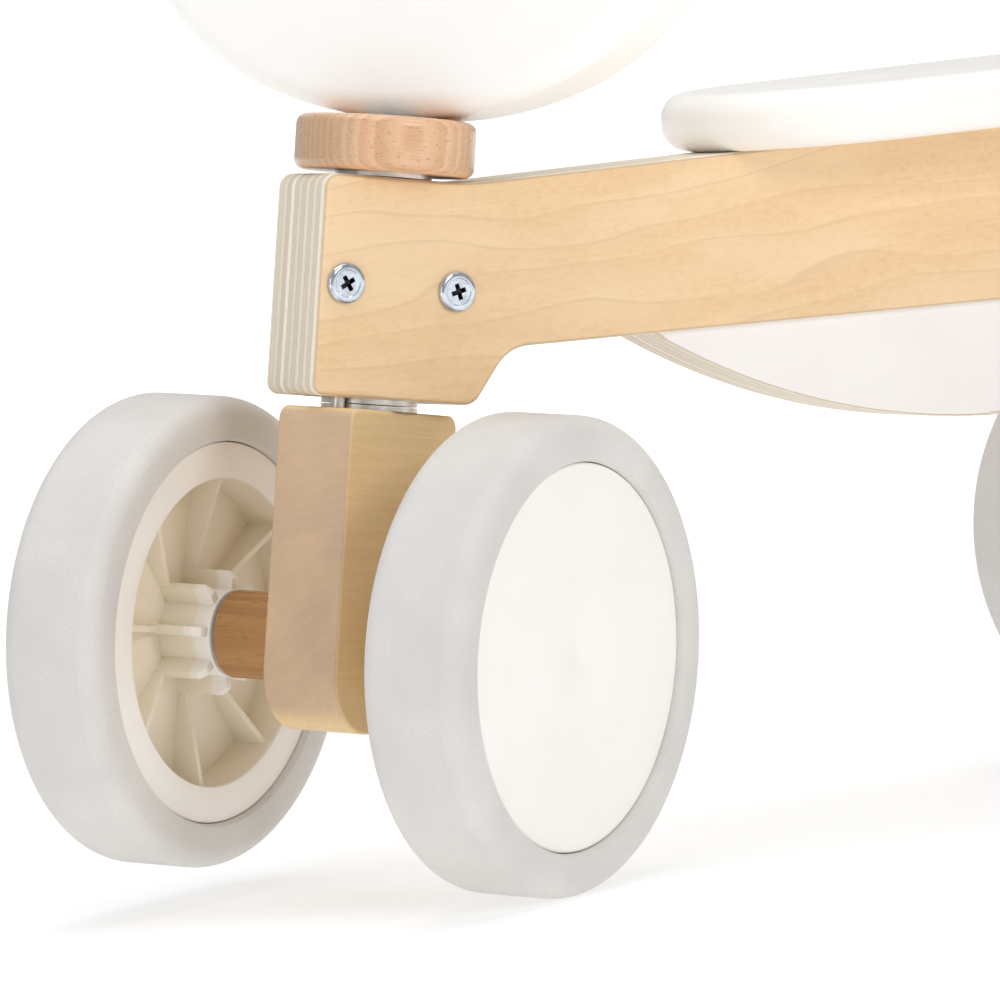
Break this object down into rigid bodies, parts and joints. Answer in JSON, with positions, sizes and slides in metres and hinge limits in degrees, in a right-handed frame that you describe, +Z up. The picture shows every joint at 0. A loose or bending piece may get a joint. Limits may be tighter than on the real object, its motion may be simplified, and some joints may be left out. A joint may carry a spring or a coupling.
{
  "type": "balance bike",
  "caption": "Child's wooden balance bike: plywood frame with white seat and belly board, steered front fork with head board and handlebar, and free-rolling wheels.",
  "frame": {"origin": "on the floor, under the middle of the whole bike as it stands with its fork turned to the left", "axes": "+X forward, +Y to the rider's left, +Z up; the plywood frame stands in the XZ plane"},
  "size_m": [0.4981, 0.2794, 0.3496],
  "materials": {
    "birch_plywood": "clear matt lacquer on birch plywood",
    "white_board": "white water-based paint, bare edge",
    "seat_paint": "smooth white water-based paint",
    "head_paint": "smooth white water-based paint",
    "beech": "clear lacquered beech",
    "block_wood": "clear lacquered hardwood",
    "stained_dowel": "clear lacquered dark hardwood",
    "tyre": "soft light grey thermoplastic rubber",
    "hub_plastic": "moulded cream plastic",
    "cap_plastic": "moulded white plastic, fine satin",
    "nylon": "natural nylon",
    "grip_rubber": "soft light grey rubber",
    "chrome": "polished plated steel",
    "steel": "zinc plated steel"
  },
  "bodies": {
    "frame": {"frame_board": "birch_plywood", "belly_board": "white_board", "belly_dowels": "beech", "steering_sleeve": "steel", "neck_washer": "steel", "neck_bolts": "chrome", "neck_sleeve_nuts": "chrome", "seat": "seat_paint", "seat_bolts": "steel", "seat_bolt_plugs": "cap_plastic", "seat_barrel_nuts": "steel", "rear_block": "block_wood", "rear_block_bolts": "steel", "rear_barrel_nuts": "steel", "rear_axle_tube": "stained_dowel", "rear_axle_rod": "steel", "rear_axle_washers": "steel", "rear_axle_nuts": "steel"},
    "fork": {"fork_block": "block_wood", "steering_bolt": "steel", "steering_barrel_nut": "steel", "fork_washer": "steel", "collar_washer": "steel", "stop_pin": "steel", "collar": "beech", "head_dowels": "beech", "head_board": "head_paint", "handlebar": "beech", "left_grip": "grip_rubber", "right_grip": "grip_rubber", "front_axle_tube": "stained_dowel", "front_axle_rod": "steel", "front_axle_washers": "steel", "front_axle_nuts": "steel"},
    "front_left_wheel": {"front_left_tyre": "tyre", "front_left_hub": "hub_plastic", "front_left_cap": "cap_plastic", "front_left_bushing": "nylon"},
    "front_right_wheel": {"front_right_tyre": "tyre", "front_right_hub": "hub_plastic", "front_right_cap": "cap_plastic", "front_right_bushing": "nylon"},
    "rear_left_wheel": {"rear_left_tyre": "tyre", "rear_left_hub": "hub_plastic", "rear_left_cap": "cap_plastic", "rear_left_bushing": "nylon"},
    "rear_right_wheel": {"rear_right_tyre": "tyre", "rear_right_hub": "hub_plastic", "rear_right_cap": "cap_plastic", "rear_right_bushing": "nylon"}
  },
  "joints": [
    {"name": "steering", "type": "hinge", "parent": "frame", "child": "fork", "pos_m": [0.152, 0.0069, 0.07595], "axis": [-0.1736, 0, 0.9848], "range_deg": [-69.4, 10.6]},
    {"name": "front_left_spin", "type": "hinge", "parent": "fork", "child": "front_left_wheel", "pos_m": [0.12203, 0.06091, 0.07066], "axis": [-0.4834, 0.8712, -0.0852], "continuous": true},
    {"name": "front_right_spin", "type": "hinge", "parent": "fork", "child": "front_right_wheel", "pos_m": [0.18197, -0.04711, 0.08123], "axis": [-0.4834, 0.8712, -0.0852], "continuous": true},
    {"name": "rear_left_spin", "type": "hinge", "parent": "frame", "child": "rear_left_wheel", "pos_m": [-0.179, 0.0689, 0.07], "axis": [0, 1, 0], "continuous": true},
    {"name": "rear_right_spin", "type": "hinge", "parent": "frame", "child": "rear_right_wheel", "pos_m": [-0.179, -0.0551, 0.07], "axis": [0, 1, 0], "continuous": true}
  ]
}
